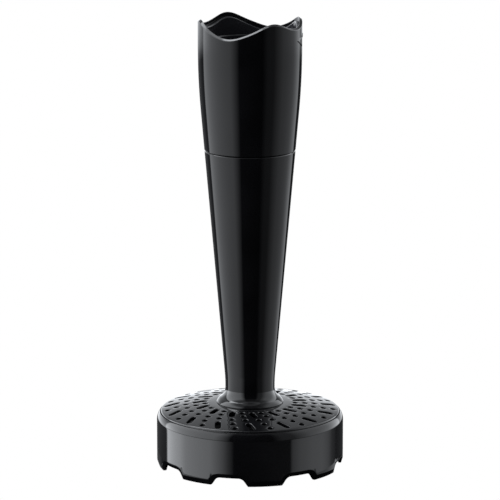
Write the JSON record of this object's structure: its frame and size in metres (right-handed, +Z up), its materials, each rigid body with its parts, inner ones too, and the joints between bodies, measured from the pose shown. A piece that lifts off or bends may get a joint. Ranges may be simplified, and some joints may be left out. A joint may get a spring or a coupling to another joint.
{
  "type": "masher attachment for a stick blender",
  "caption": "Tapered masher attachment: perforated dome foot with a castellated skirt, shaft housing, twist-off reduction gearbox with an open coupling socket.",
  "frame": {"origin": "centre of the circle of feet, on the surface that they stand on", "axes": "+Z up along the shaft, -Y towards one of the two wide scallops of the socket rim"},
  "size_m": [0.0962, 0.0962, 0.2323],
  "materials": {
    "gloss_black": "high-gloss black moulded plastic",
    "graphite_plastic": "fine-grained dark grey moulded plastic",
    "glass_filled": "glass-filled nylon with a light flow texture",
    "acetal": "moulded acetal, slightly waxy",
    "steel": "turned or stamped stainless steel",
    "bronze": "sintered bronze, oil-soaked",
    "seal_rubber": "black silicone rubber"
  },
  "bodies": {
    "root": {"foot_ring": "gloss_black", "sieve_dome": "gloss_black", "foot_screws": "steel", "shaft_housing": "gloss_black", "seal_washer": "steel", "lip_seal": "seal_rubber", "lower_bush": "bronze", "bearing_spider": "graphite_plastic", "spider_clip": "steel", "upper_bush": "bronze"},
    "gearbox": {"gearbox_housing": "gloss_black", "spigot_seal": "seal_rubber", "output_bush": "bronze", "ring_gear": "glass_filled", "plate_gasket": "seal_rubber", "input_plate": "glass_filled", "plate_screws": "steel", "input_bush": "bronze", "input_seal": "seal_rubber", "socket_liner": "gloss_black", "liner_screws": "steel", "index_mark": "graphite_plastic"},
    "drive": {"drive_shaft": "steel", "shaft_clip": "steel", "cross_pin": "steel", "output_socket": "bronze", "thrust_washer": "steel", "carrier_2": "steel", "planet_pins_2": "steel"},
    "carrier": {"carrier_1": "steel", "planet_pins_1": "steel", "sun_2": "steel"},
    "input": {"input_shaft": "steel", "sun_1": "steel", "input_clip": "steel", "input_coupling": "graphite_plastic"},
    "planet_1a": {"planet_1a": "acetal"},
    "planet_1b": {"planet_1b": "acetal"},
    "planet_1c": {"planet_1c": "acetal"},
    "planet_2a": {"planet_2a": "acetal"},
    "planet_2b": {"planet_2b": "acetal"},
    "planet_2c": {"planet_2c": "acetal"},
    "paddle": {"paddle_hub": "graphite_plastic", "paddle_blades": "graphite_plastic"}
  },
  "joints": [
    {"name": "gearbox_twist", "type": "hinge", "parent": "root", "child": "gearbox", "pos_m": [0, 0, 0.1646], "axis": [0, 0, 1], "range_deg": [0, 30]},
    {"name": "drive_spin", "type": "hinge", "parent": "gearbox", "child": "drive", "pos_m": [0, 0, 0.1686], "axis": [0, 0, 1], "continuous": true},
    {"name": "carrier_spin", "type": "hinge", "parent": "gearbox", "child": "carrier", "pos_m": [0, 0, 0.1801], "axis": [0, 0, 1], "continuous": true},
    {"name": "input_spin", "type": "hinge", "parent": "gearbox", "child": "input", "pos_m": [0, 0, 0.1912], "axis": [0, 0, 1], "continuous": true},
    {"name": "paddle_twist", "type": "hinge", "parent": "drive", "child": "paddle", "pos_m": [0, 0, 0.023], "axis": [0, 0, 1], "range_deg": [0, 60]},
    {"name": "planet_1a_spin", "type": "hinge", "parent": "carrier", "child": "planet_1a", "pos_m": [0, -0.00945, 0.185], "axis": [0, 0, 1], "continuous": true},
    {"name": "planet_2a_spin", "type": "hinge", "parent": "drive", "child": "planet_2a", "pos_m": [0, -0.00945, 0.175], "axis": [0, 0, 1], "continuous": true},
    {"name": "planet_1b_spin", "type": "hinge", "parent": "carrier", "child": "planet_1b", "pos_m": [0.00818, 0.00473, 0.185], "axis": [0, 0, 1], "continuous": true},
    {"name": "planet_2b_spin", "type": "hinge", "parent": "drive", "child": "planet_2b", "pos_m": [0.00818, 0.00473, 0.175], "axis": [0, 0, 1], "continuous": true},
    {"name": "planet_1c_spin", "type": "hinge", "parent": "carrier", "child": "planet_1c", "pos_m": [-0.00818, 0.00473, 0.185], "axis": [0, 0, 1], "continuous": true},
    {"name": "planet_2c_spin", "type": "hinge", "parent": "drive", "child": "planet_2c", "pos_m": [-0.00818, 0.00473, 0.175], "axis": [0, 0, 1], "continuous": true}
  ],
  "couplings": [
    {"joint": "carrier_spin", "follows": "drive_spin", "ratio": 4.5},
    {"joint": "input_spin", "follows": "drive_spin", "ratio": 20.25},
    {"joint": "planet_1a_spin", "follows": "drive_spin", "ratio": -12.6},
    {"joint": "planet_2a_spin", "follows": "drive_spin", "ratio": -2.8},
    {"joint": "planet_1b_spin", "follows": "drive_spin", "ratio": -12.6},
    {"joint": "planet_2b_spin", "follows": "drive_spin", "ratio": -2.8},
    {"joint": "planet_1c_spin", "follows": "drive_spin", "ratio": -12.6},
    {"joint": "planet_2c_spin", "follows": "drive_spin", "ratio": -2.8}
  ]
}
